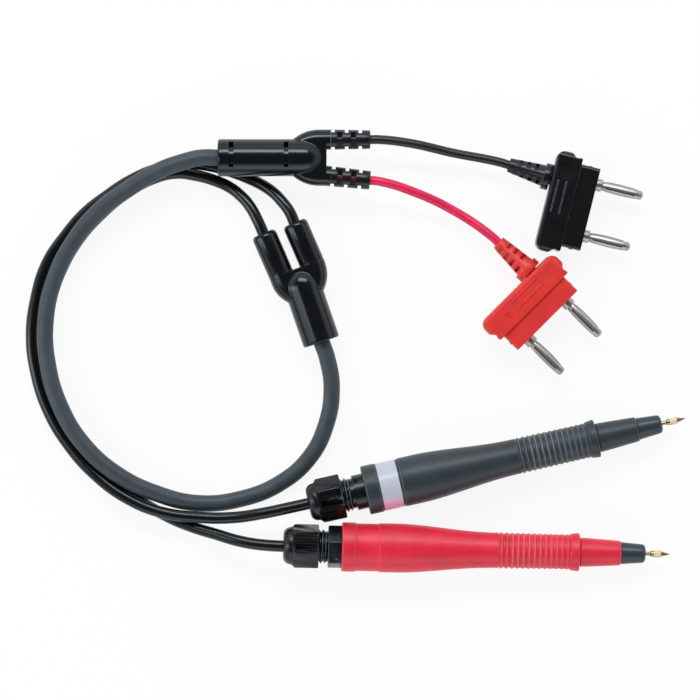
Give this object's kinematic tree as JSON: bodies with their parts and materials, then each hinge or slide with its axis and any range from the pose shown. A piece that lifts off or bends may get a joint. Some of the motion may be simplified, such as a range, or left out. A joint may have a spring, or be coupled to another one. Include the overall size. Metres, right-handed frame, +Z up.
{
  "type": "four-terminal pin-type test lead set",
  "caption": "Four-terminal test lead set: slim probe pens with sprung coaxial points, looped cables with two junctions, dual banana plugs.",
  "frame": {"origin": "on the surface that the set lies on, below the middle of the box around the two pens", "axes": "+X along the red pen towards its point, +Z up from the surface, +Y towards the plug junction"},
  "size_m": [0.238, 0.1594, 0.0183],
  "materials": {
    "pen_grey": "satin moulded plastic, dark blue grey",
    "pen_red": "semi-gloss moulded plastic, red",
    "gland_black": "satin nylon",
    "seal_rubber": "soft seal",
    "dark_steel": "blackened socket set screw",
    "label": "bare label band",
    "tip_blue": "semi-gloss dark slate plastic",
    "insulator_cream": "cream insulator",
    "contact_gold": "gold plated, dulled",
    "wire_cream": "insulated hook-up wire",
    "spring_steel": "drawn spring wire",
    "nickel": "nickel plated",
    "plug_black": "semi-gloss moulded plastic, black",
    "plug_red": "semi-gloss moulded plastic, vermilion",
    "junction_black": "glossy moulded rubber, blue black",
    "boot_black": "moulded rubber strain relief",
    "cable_grey": "matte PVC jacket, dark grey",
    "cable_black": "glossy PVC jacket, black",
    "lead_black": "glossy PVC jacket, black",
    "lead_crimson": "glossy PVC jacket, crimson"
  },
  "bodies": {
    "root": {"grey_gland_body": "gland_black", "grey_set_screw": "dark_steel", "grey_barrel": "pen_grey", "grey_label_band": "label", "grey_nose_cone": "pen_grey", "grey_nose_tip": "tip_blue", "grey_contact_carrier": "insulator_cream", "grey_solder_lugs": "contact_gold", "grey_core_wires": "wire_cream", "grey_sleeve_spring": "spring_steel", "grey_needle_spring": "spring_steel", "red_gland_body": "gland_black", "red_set_screw": "dark_steel", "red_barrel": "pen_red", "red_nose_cone": "pen_red", "red_nose_tip": "tip_blue", "red_contact_carrier": "insulator_cream", "red_solder_lugs": "contact_gold", "red_core_wires": "wire_cream", "red_sleeve_spring": "spring_steel", "red_needle_spring": "spring_steel", "black_plug_shell": "plug_black", "black_plug_block": "plug_black", "black_plug_boot": "plug_black", "black_plug_pin_cores": "nickel", "black_plug_pin_cages": "nickel", "black_plug_pin_collars": "nickel", "black_plug_wires": "wire_cream", "red_plug_shell": "plug_red", "red_plug_block": "plug_red", "red_plug_boot": "plug_red", "red_plug_pin_cores": "nickel", "red_plug_pin_cages": "nickel", "red_plug_pin_collars": "nickel", "red_plug_wires": "wire_cream", "plug_junction": "junction_black", "plug_junction_black_boot": "boot_black", "plug_junction_red_boot": "boot_black", "plug_junction_splices": "contact_gold", "pen_junction": "junction_black", "pen_junction_red_sleeve": "junction_black", "pen_junction_grey_sleeve": "junction_black", "pen_junction_splices": "contact_gold", "main_cable": "cable_grey", "grey_pen_cable": "cable_black", "red_pen_cable": "cable_black", "black_lead": "lead_black", "red_lead": "lead_crimson"},
    "grey_seal": {"grey_gland_seal": "seal_rubber"},
    "grey_nut": {"grey_gland_nut": "gland_black"},
    "grey_contact": {"grey_contact_sleeve": "contact_gold", "grey_contact_insulator": "insulator_cream"},
    "grey_needle": {"grey_contact_needle": "contact_gold"},
    "red_seal": {"red_gland_seal": "seal_rubber"},
    "red_nut": {"red_gland_nut": "gland_black"},
    "red_contact": {"red_contact_sleeve": "contact_gold", "red_contact_insulator": "insulator_cream"},
    "red_needle": {"red_contact_needle": "contact_gold"}
  },
  "joints": [
    {"name": "grey_seal_release", "type": "slide", "parent": "root", "child": "grey_seal", "axis": [-0.9751, -0.2198, 0.0295], "range_m": [0, 0.003]},
    {"name": "grey_nut_turn", "type": "hinge", "parent": "grey_seal", "child": "grey_nut", "pos_m": [-0.0556, -0.00164, 0.00981], "axis": [-0.9751, -0.2198, 0.0295], "range_deg": [0, 720]},
    {"name": "grey_contact_press", "type": "slide", "parent": "root", "child": "grey_contact", "axis": [-0.9751, -0.2198, 0.0295], "range_m": [0, 0.0015], "stiffness_N_per_m": 1000, "springref_m": -0.002, "deforming": ["grey_sleeve_spring"]},
    {"name": "grey_needle_press", "type": "slide", "parent": "grey_contact", "child": "grey_needle", "axis": [-0.9751, -0.2198, 0.0295], "range_m": [0, 0.001], "stiffness_N_per_m": 500, "springref_m": -0.002, "deforming": ["grey_needle_spring"]},
    {"name": "red_seal_release", "type": "slide", "parent": "root", "child": "red_seal", "axis": [-0.9993, 0.0237, 0.0295], "range_m": [0, 0.003]},
    {"name": "red_nut_turn", "type": "hinge", "parent": "red_seal", "child": "red_nut", "pos_m": [-0.06441, -0.01869, 0.00981], "axis": [-0.9993, 0.0237, 0.0295], "range_deg": [0, 720]},
    {"name": "red_contact_press", "type": "slide", "parent": "root", "child": "red_contact", "axis": [-0.9993, 0.0237, 0.0295], "range_m": [0, 0.0015], "stiffness_N_per_m": 1000, "springref_m": -0.002, "deforming": ["red_sleeve_spring"]},
    {"name": "red_needle_press", "type": "slide", "parent": "red_contact", "child": "red_needle", "axis": [-0.9993, 0.0237, 0.0295], "range_m": [0, 0.001], "stiffness_N_per_m": 500, "springref_m": -0.002, "deforming": ["red_needle_spring"]}
  ],
  "couplings": [
    {"joint": "grey_nut_turn", "follows": "grey_seal_release", "rad_per_m": 4188.8},
    {"joint": "red_nut_turn", "follows": "red_seal_release", "rad_per_m": 4188.8}
  ]
}
